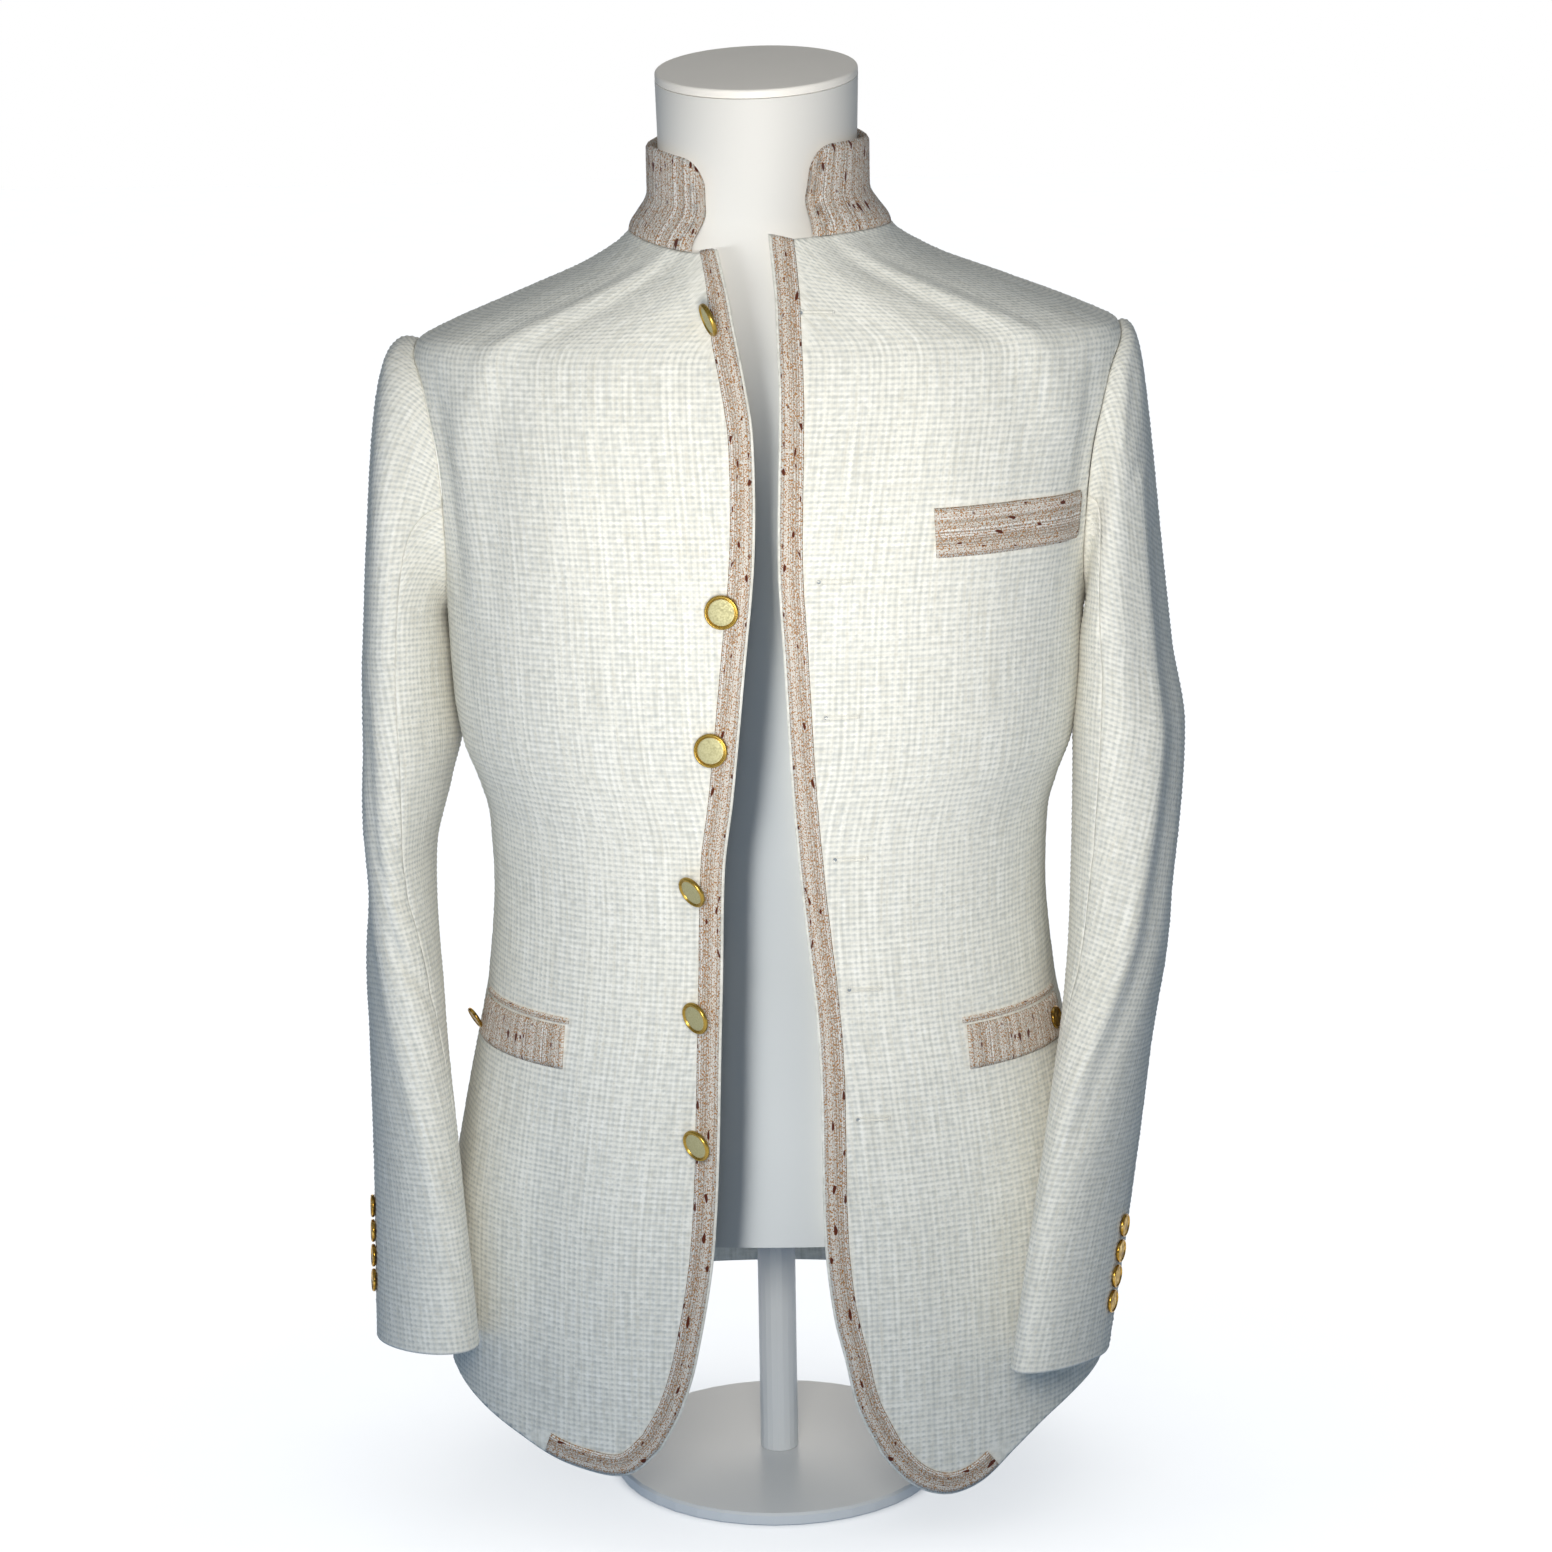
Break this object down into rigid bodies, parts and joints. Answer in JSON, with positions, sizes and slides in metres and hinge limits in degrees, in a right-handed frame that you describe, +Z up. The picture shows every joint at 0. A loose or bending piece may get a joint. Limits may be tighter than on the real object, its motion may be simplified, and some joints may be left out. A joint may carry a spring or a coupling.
{
  "type": "tweed jacket on a limbless dress form",
  "caption": "Open tweed jacket in a cream basket weave with a stand collar, rose tweed edges and welts and gold-coloured buttons, worn by a limbless dress form on a round base.",
  "frame": {"origin": "centre of the base plate's underside, on the floor", "axes": "+Z up, -Y the way the jacket's front faces, +X towards the wearer's left (the viewer's right)"},
  "size_m": [0.5254, 0.2898, 0.9276],
  "materials": {
    "cream_tweed": "matt basket weave",
    "rose_tweed": "matt slubbed tweed",
    "gold_metal": "polished rim, satin face",
    "white_form": "satin moulded shell",
    "grey_cap": "satin",
    "white_paint": "satin paint"
  },
  "bodies": {
    "root": {"front_left": "cream_tweed", "side_left": "cream_tweed", "back_left": "cream_tweed", "top_sleeve_left": "cream_tweed", "under_sleeve_left": "cream_tweed", "front_right": "cream_tweed", "side_right": "cream_tweed", "back_right": "cream_tweed", "top_sleeve_right": "cream_tweed", "under_sleeve_right": "cream_tweed", "collar": "rose_tweed", "front_trim_left": "rose_tweed", "pocket_welt_left": "rose_tweed", "pocket_jet_left": "rose_tweed", "front_trim_right": "rose_tweed", "pocket_welt_right": "rose_tweed", "pocket_jet_right": "rose_tweed", "breast_welt": "rose_tweed", "front_button_1": "gold_metal", "front_button_2": "gold_metal", "front_button_3": "gold_metal", "front_button_4": "gold_metal", "front_button_5": "gold_metal", "front_button_6": "gold_metal", "pocket_button_left": "gold_metal", "pocket_button_right": "gold_metal", "sleeve_button_left_1": "gold_metal", "sleeve_button_left_2": "gold_metal", "sleeve_button_left_3": "gold_metal", "sleeve_button_left_4": "gold_metal", "sleeve_button_right_1": "gold_metal", "sleeve_button_right_2": "gold_metal", "sleeve_button_right_3": "gold_metal", "sleeve_button_right_4": "gold_metal", "form_torso": "white_form", "neck_cap": "grey_cap", "stand_pole": "white_paint", "stand_base": "white_paint"}
  },
  "joints": []
}
